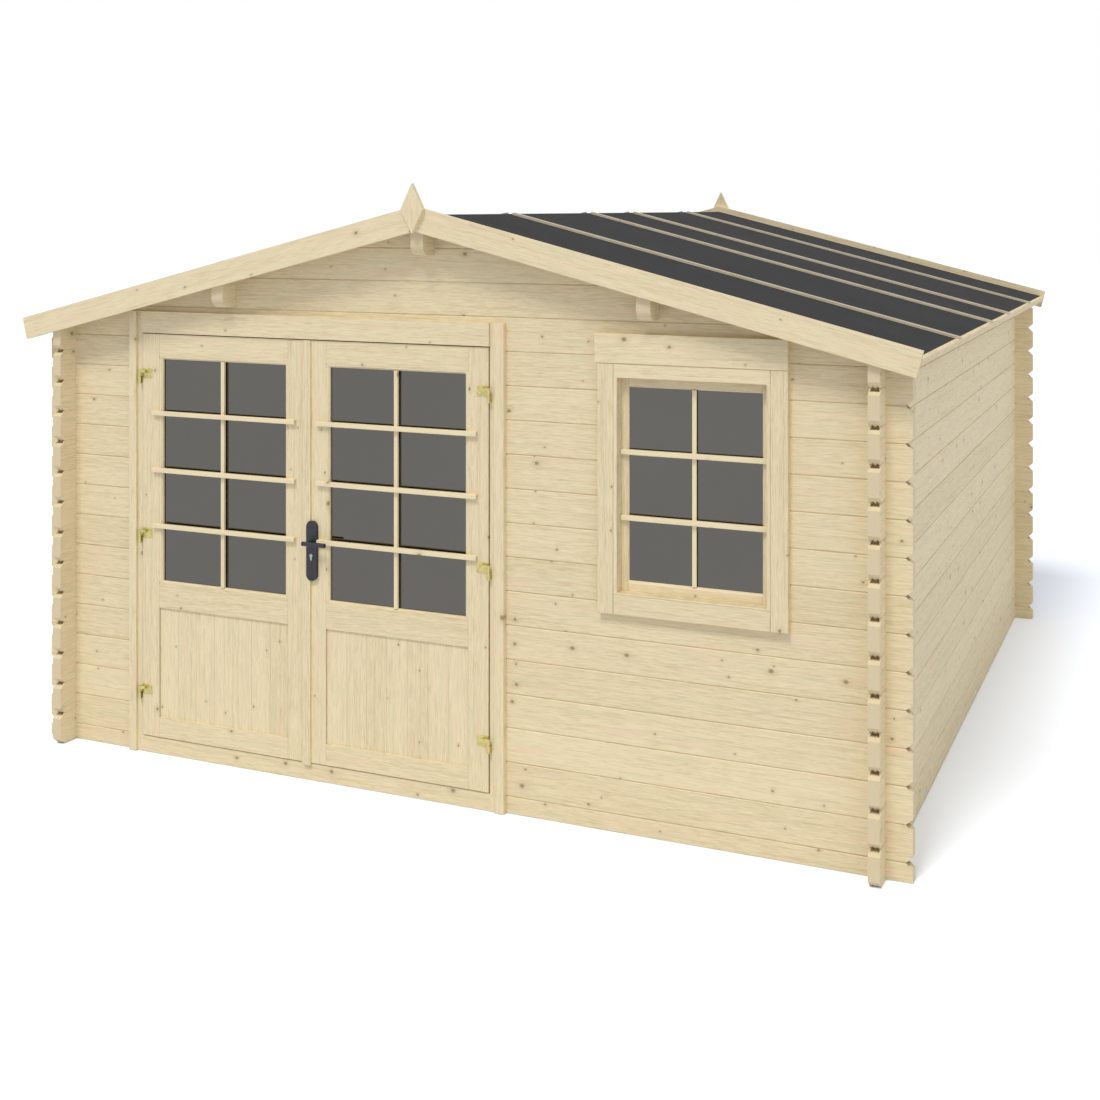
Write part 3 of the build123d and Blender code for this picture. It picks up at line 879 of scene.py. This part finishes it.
class CABIN_OT_boards(bpy.types.Operator):
    """Lays the roof boards and the floor boards, each with bevelled edges."""

    bl_idname = "cabin.boards"
    bl_label = "Lay the boards"

    def execute(self, context):
        size = context.scene.cabin_boards
        number = counted("Y", size.roof_width, ROOF_BOARDS_FROM)
        roof = timber("Roof board spruce", "X", "Y", "Z", number, 50)
        for side, out in (("left", -1), ("right", 1)):
            self.roof_slope(side, out, size, roof)
        self.floor(size)
        return {"FINISHED"}

    def rows(self, low, high, width, inset):
        """Where the six points of each board's outline lie across the boards, (count, 6).

        Equal boards, each about as wide as asked, fill low to high. With the share 0 at a board's low edge
        and 1 at its high edge, place = edge + share * width + inset. The outline goes along the underside and
        back along the top.
        """
        count = round((high - low) / width)
        edges = np.linspace(low, high, count + 1)
        share = np.array([0, 1, 1, 1, 0, 0])
        return edges[:-1, None] + share * np.diff(edges)[:, None] + np.array(inset)

    def roof_slope(self, side, out, size, material):
        """Boards from the ridge to the eave, with bevelled lower edges.

        Each outline point has its height above the underside. At the ridge the boards are cut upright, at
        z = ridge + height / cos(pitch). At the eave they are cut square, height * sin(pitch) further out and
        height * cos(pitch) up.
        """
        low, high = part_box(f"{side}_roof_boards")
        rise = math.sin(PITCH)
        run = math.cos(PITCH)
        ridge = high.z - ROOF_THICKNESS / run
        reach = max(abs(low.x), abs(high.x))
        length = (reach - ROOF_THICKNESS * rise) / run
        bevel = size.bevel
        y = self.rows(low.y, high.y, size.roof_width, (bevel, -bevel, 0, 0, 0, 0))
        above = np.broadcast_to((0, 0, bevel, ROOF_THICKNESS, ROOF_THICKNESS, bevel), y.shape)
        ridge_end = np.stack([np.zeros_like(y), y, ridge + above / run], axis=2)
        eave_x = out * (length * run + above * rise)
        eave_end = np.stack([eave_x, y, ridge - length * rise + above * run], axis=2)
        pair = (ridge_end, eave_end) if out > 0 else (eave_end, ridge_end)
        piece = add_piece(f"{side}_slope_boards", *prisms(*pair), material, "cabin", "spruce")
        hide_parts(f"{side}_roof_boards")

    def floor(self, size):
        """Boards across the joists, with bevelled upper edges."""
        low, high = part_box("floor_boards")
        bevel = size.bevel
        y = self.rows(low.y, high.y, size.floor_width, (0, 0, 0, -bevel, bevel, 0))
        side = high.z - bevel
        z = np.broadcast_to((low.z, low.z, side, high.z, high.z, side), y.shape)
        starts = np.stack([np.full_like(y, low.x), y, z], axis=2)
        ends = np.stack([np.full_like(y, high.x), y, z], axis=2)
        number = counted("Y", (high.y - low.y) / len(y), low.y)
        material = timber("Floor board spruce", "X", "Y", "Z", number, 51)
        piece = add_piece("laid_floor", *prisms(starts, ends), material, "cabin", "spruce")
        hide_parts("floor_boards")


class CABIN_OT_bars(bpy.types.Operator):
    """Makes the bars over the door panes and the window pane."""

    bl_idname = "cabin.bars"
    bl_label = "Make the bars"

    def execute(self, context):
        size = context.scene.cabin_bars
        levels = sorted(size.door_levels)
        for side in ("left", "right"):
            body = f"{side}_door"
            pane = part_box(f"{side}_door_glass")
            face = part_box(f"{side}_door_leaf")[0].y
            left = pane[0].x - (size.left_lap if side == "left" else size.lap)
            right = pane[1].x + size.lap
            long_levels = levels if side == "left" else levels[1:]
            level_bars(f"{side}_door_level_bars", long_levels, left, right, face, body)
            upright_bar(f"{side}_door_upright_bar", pane, face, body)
        # The lowest bar of the right door starts beside the lock plate
        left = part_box("lock_plates")[1].x + BAR_CLEARANCE
        level_bars("right_door_short_bar", levels[:1], left, right, face, body)
        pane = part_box("window_glass")
        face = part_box("window_sash")[0].y
        left = pane[0].x - size.window_lap
        right = pane[1].x + size.window_lap
        level_bars("window_level_bars", size.window_levels, left, right, face, "cabin")
        upright_bar("window_upright_bar", pane, face, "cabin")
        return {"FINISHED"}


class CABIN_OT_felt(bpy.types.Operator):
    """Finishes the roof in mineral felt: fine granules over a dark ground, with faint broad patches."""

    bl_idname = "cabin.felt"
    bl_label = "Finish the felt"

    def execute(self, context):
        look = context.scene.cabin_finishes
        material, graph = new_material("Roofing felt")
        granules = graph.cloud(700.0, 1.0)
        patches = graph.cloud(3.0, 4.0, 0.6)
        colour = graph.mix(graph.ramp(granules, 0.35, 0.65), tuple(look.felt_dark), tuple(look.felt_pale))
        colour = graph.mix(graph.ramp(patches, 0.3, 0.75, 0.0, 0.25), colour, tuple(look.felt_patch))
        graph.surface(
            {
                "Base Color": colour,
                "Roughness": 0.92,
                "Specular IOR Level": 0.12,
                "Normal": graph.bump(granules, 0.5, 0.8 * MM),
            }
        )
        for side in ("left", "right"):
            dress(f"{side}_roof_felt", material)
        return {"FINISHED"}


def plain(name, colour, metallic, roughness, waves, wear):
    """Metal or painted finish with a faint uneven sheen: noise varies its colour and its roughness.

    waves is the noise's number of waves a metre, and wear is the share by which the darkest places are darker
    than the colour.
    """
    material, graph = new_material(name)
    cloud = graph.cloud(waves, 4.0, 0.6)
    darker = tuple(channel * (1.0 - wear) for channel in colour)
    graph.surface(
        {
            "Base Color": graph.mix(graph.ramp(cloud, 0.3, 0.7), tuple(colour), darker),
            "Metallic": metallic,
            "Roughness": graph.ramp(cloud, 0.25, 0.75, roughness - 0.06, roughness + 0.08),
        }
    )
    return material


class CABIN_OT_metal(bpy.types.Operator):
    """Finishes the hinges in brass and the lock and lever in black."""

    bl_idname = "cabin.metal"
    bl_label = "Finish the metal"

    def execute(self, context):
        look = context.scene.cabin_finishes
        brass = plain("Yellow brass", look.brass, 0.85, 0.34, 60.0, 0.25)
        black = plain("Satin black", look.black, 0.0, 0.42, 40.0, 0.25)
        for node in ("left_door_hinges", "right_door_hinges", "frame_hinges"):
            dress(node, brass)
        for node in ("lock_plates", "door_lever"):
            dress(node, black)
        return {"FINISHED"}


class CABIN_OT_screws(bpy.types.Operator):
    """Drives the screws into the hinge flaps and sets the cylinder in the lock plates."""

    bl_idname = "cabin.screws"
    bl_label = "Add the screws and the cylinder"

    def execute(self, context):
        size = context.scene.cabin_screws
        look = context.scene.cabin_finishes
        zinc = plain("Yellow zinc", look.zinc, 0.9, 0.30, 200.0, 0.2)
        nickel = plain("Nickel", look.nickel, 0.9, 0.30, 120.0, 0.15)
        for side, out in (("left", 1), ("right", -1)):
            low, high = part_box(f"{side}_door_hinges")
            flap = high.x if out > 0 else low.x
            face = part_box(f"{side}_door_leaf")[0].y - FLAP_THICKNESS
            outer, inner = (flap - out * inset for inset in SCREW_INSETS)
            places = [(outer, face, z + rise) for z in HINGE_HEIGHTS for rise in (-SCREW_RISE, SCREW_RISE)]
            places += [(inner, face, z - SCREW_RISE) for z in HINGE_HEIGHTS]
            self.screws(f"{side}_door_hinge_screws", places, f"{side}_door", zinc, size)
        self.cylinder("lock_cylinder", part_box("lock_plates"), nickel, size)
        return {"FINISHED"}

    def screws(self, name, places, body, material, size):
        """Domed heads with a cross recess, one with its back at each place.

        With r from 0 to 1 and the angle t, x = radius * r * cos(t) and z = radius * r * sin(t). The head
        stands out by height * (1 - r^4) less the recess, which falls off from the two lines of the cross,
        x = 0 and z = 0, and from the middle outwards.
        """
        share = np.linspace(0.0, 1.0, 9)
        angle = np.linspace(0.0, 2 * math.pi, 24, endpoint=False)
        r, t = np.meshgrid(share, angle, indexing="ij")
        x = size.radius * r * np.cos(t)
        z = size.radius * r * np.sin(t)
        arm = np.minimum(np.abs(x), np.abs(z)) / size.radius
        recess = np.clip(1.0 - arm / 0.16, 0.0, 1.0) * np.clip(1.6 - 2.2 * r, 0.0, 1.0)
        out = size.height * (1.0 - r**4) - size.recess * recess
        head = np.stack([x, -out, z], axis=2).reshape(-1, 3)
        rings, turns = r.shape
        ring, here = np.meshgrid(np.arange(rings - 1) * turns, np.arange(turns), indexing="ij")
        after = (here + 1) % turns
        corners = [ring + here, ring + turns + here, ring + turns + after, ring + after]
        dome = np.stack(corners, axis=2).reshape(-1, 4)
        back = (rings - 1) * turns + np.arange(turns)[::-1]
        points = (head[None] + np.array(places)[:, None]).reshape(-1, 3)
        faces = []
        for base in range(0, len(points), len(head)):
            faces += (dome + base).tolist()
            faces.append((back + base).tolist())
        merge(add_piece(name, points, faces, material, body, "brass"))

    def cylinder(self, name, plates, material, size):
        """Lock cylinder through both plates: an arc of the round part, and the narrow part below as a U."""
        low, high = plates
        middle = (low.x + high.x) / 2
        turn = np.linspace(*CYLINDER_ARC, 28)
        centre = CYLINDER_TOP - size.cylinder_radius
        half = size.cylinder_radius * math.cos(CYLINDER_ARC[0])
        foot = CYLINDER_TOP - size.cylinder_height + half
        bend = np.linspace(math.pi, 2 * math.pi, 12)
        upper_z = centre + size.cylinder_radius * np.sin(turn)
        upper = np.stack([size.cylinder_radius * np.cos(turn), upper_z], axis=1)
        lower = np.stack([half * np.cos(bend), foot + half * np.sin(bend)], axis=1)
        outline = np.concatenate([upper, lower]) + (middle, 0.0)
        depth = np.full(len(outline), high.y + CYLINDER_PROUD)
        starts = np.stack([outline[:, 0], depth, outline[:, 1]], axis=1)[None]
        ends = starts.copy()
        ends[:, :, 1] = low.y - CYLINDER_PROUD
        points, faces = prisms(starts, ends)
        add_piece(name, points, faces, material, "right_door", "brass")


class CABIN_OT_glass(bpy.types.Operator):
    """Finishes the panes as grey glass that mirrors what is before it and lets a little of the room show."""

    bl_idname = "cabin.glass"
    bl_label = "Finish the glass"

    def execute(self, context):
        look = context.scene.cabin_finishes
        material, graph = new_material("Grey glass")
        cloud = graph.cloud(1.2, 2.0)
        graph.surface(
            {
                "Base Color": graph.mix(cloud, tuple(look.glass_dark), tuple(look.glass_pale)),
                "Metallic": 1.0,
                "Roughness": 0.03,
                "Alpha": 0.95,
            }
        )
        for node in ("left_door_glass", "right_door_glass", "window_glass"):
            dress(node, material)
        return {"FINISHED"}


class CABIN_OT_stage(bpy.types.Operator):
    """Sets up the pale floor, the soft light and the camera."""

    bl_idname = "cabin.stage"
    bl_label = "Set the stage"

    def execute(self, context):
        look = context.scene.cabin_studio
        self.floor(look)
        self.lamps(look)
        self.world(look)
        self.camera()
        context.scene.view_settings.view_transform = "Standard"
        return {"FINISHED"}

    def floor(self, look):
        """Round floor, which the camera, gloss and glass see white, with the cabin's shadow on it."""
        turn = np.linspace(0, 2 * math.pi, 64, endpoint=False)
        depth = np.full_like(turn, -FLOOR_DROP)
        ring = np.stack([FLOOR_RADIUS * np.cos(turn), FLOOR_RADIUS * np.sin(turn), depth], axis=1)
        mesh = bpy.data.meshes.new("Studio floor")
        mesh.from_pydata(ring.tolist(), [], [list(range(len(ring)))])
        material, graph = new_material("Studio floor")
        shader = graph.node("ShaderNodeBsdfDiffuse")
        shown = tuple(FLOOR_GAIN * channel for channel in look.floor)
        graph.feed(shader.inputs["Color"], graph.mix(self.seen(graph), tuple(look.floor), shown))
        graph.feed(graph.node("ShaderNodeOutputMaterial").inputs["Surface"], shader.outputs[0])
        mesh.materials.append(material)
        ground = bpy.data.objects.new("Studio floor", mesh)
        bpy.context.scene.collection.objects.link(ground)

    def seen(self, graph):
        """1 for what the camera sees, also in gloss and through glass."""
        path = graph.node("ShaderNodeLightPath").outputs
        mirrored = graph.math("MAXIMUM", path["Is Glossy Ray"], path["Is Transmission Ray"])
        return graph.math("MAXIMUM", path["Is Camera Ray"], mirrored)

    def lamps(self, look):
        """Soft sun from above the front, a little from the left, and a broad one from the right."""
        for name, strength, softness, tint, aim in (
            ("Key light", look.key, 18, (1.0, 0.98, 0.94), (0.08, 0.55, -0.82)),
            ("Fill light", look.fill, 80, (0.97, 0.985, 1.0), (-0.75, 0.45, -0.48)),
        ):
            sun = bpy.data.lights.new(name, "SUN")
            sun.energy = strength
            sun.angle = math.radians(softness)
            sun.color = tint
            lamp = bpy.data.objects.new(name, sun)
            lamp.rotation_euler = Vector(aim).to_track_quat("-Z", "Y").to_euler()
            bpy.context.scene.collection.objects.link(lamp)

    def world(self, look):
        """White all round for the camera, and an even pale light for the cabin."""
        world = bpy.data.worlds.new("Studio")
        world.use_nodes = True
        bpy.context.scene.world = world
        graph = Graph(world.node_tree)
        world.node_tree.nodes.clear()
        background = graph.node("ShaderNodeBackground")
        background.inputs["Color"].default_value = (1.0, 1.0, 1.0, 1.0)
        graph.feed(background.inputs["Strength"], graph.blend(self.seen(graph), look.sky, 1.0))
        graph.feed(graph.node("ShaderNodeOutputWorld").inputs["Surface"], background.outputs[0])

    def camera(self):
        """Level camera at the photograph's place, with the lens shifted down to frame the cabin."""
        data = bpy.data.cameras.new("Camera")
        data.lens = 48.627
        data.shift_x = -0.04364
        data.shift_y = -0.31186
        camera = bpy.data.objects.new("Camera", data)
        camera.location = (3.02075, -7.31598, 2.45585)
        camera.rotation_euler = (math.pi / 2, 0.0, math.radians(22.643))
        bpy.context.scene.collection.objects.link(camera)
        bpy.context.scene.camera = camera


class CABIN_PT_panel(bpy.types.Panel):
    """Lists the cabin's sizes, colours and steps in the sidebar."""

    bl_label = "Log cabin"
    bl_space_type = "VIEW_3D"
    bl_region_type = "UI"
    bl_category = "Log cabin"

    def draw(self, context):
        scene = context.scene
        for name in SETTINGS:
            group = getattr(scene, name)
            box = self.layout.box()
            for prop in group.bl_rna.properties:
                if prop.identifier not in ("rna_type", "name"):
                    box.prop(group, prop.identifier)
        for operator in STEPS:
            self.layout.operator(operator.bl_idname)


SETTINGS = {
    "cabin_timber": TimberSettings,
    "cabin_bars": BarSettings,
    "cabin_boards": BoardSettings,
    "cabin_screws": ScrewSettings,
    "cabin_finishes": FinishSettings,
    "cabin_studio": StudioSettings,
}
STEPS = (
    CABIN_OT_timber,
    CABIN_OT_boards,
    CABIN_OT_bars,
    CABIN_OT_felt,
    CABIN_OT_metal,
    CABIN_OT_screws,
    CABIN_OT_glass,
    CABIN_OT_stage,
)


def register():
    for made in (*SETTINGS.values(), *STEPS, CABIN_PT_panel):
        bpy.utils.register_class(made)
    for name, group in SETTINGS.items():
        setattr(bpy.types.Scene, name, PointerProperty(type=group))


def unregister():
    for name in SETTINGS:
        delattr(bpy.types.Scene, name)
    for made in (CABIN_PT_panel, *reversed(STEPS), *SETTINGS.values()):
        bpy.utils.unregister_class(made)


def main():
    """Dresses the cabin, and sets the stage."""
    register()
    bpy.ops.cabin.timber()
    bpy.ops.cabin.boards()
    bpy.ops.cabin.bars()
    bpy.ops.cabin.felt()
    bpy.ops.cabin.metal()
    bpy.ops.cabin.screws()
    bpy.ops.cabin.glass()
    bpy.ops.cabin.stage()


if __name__ == "__main__":
    main()
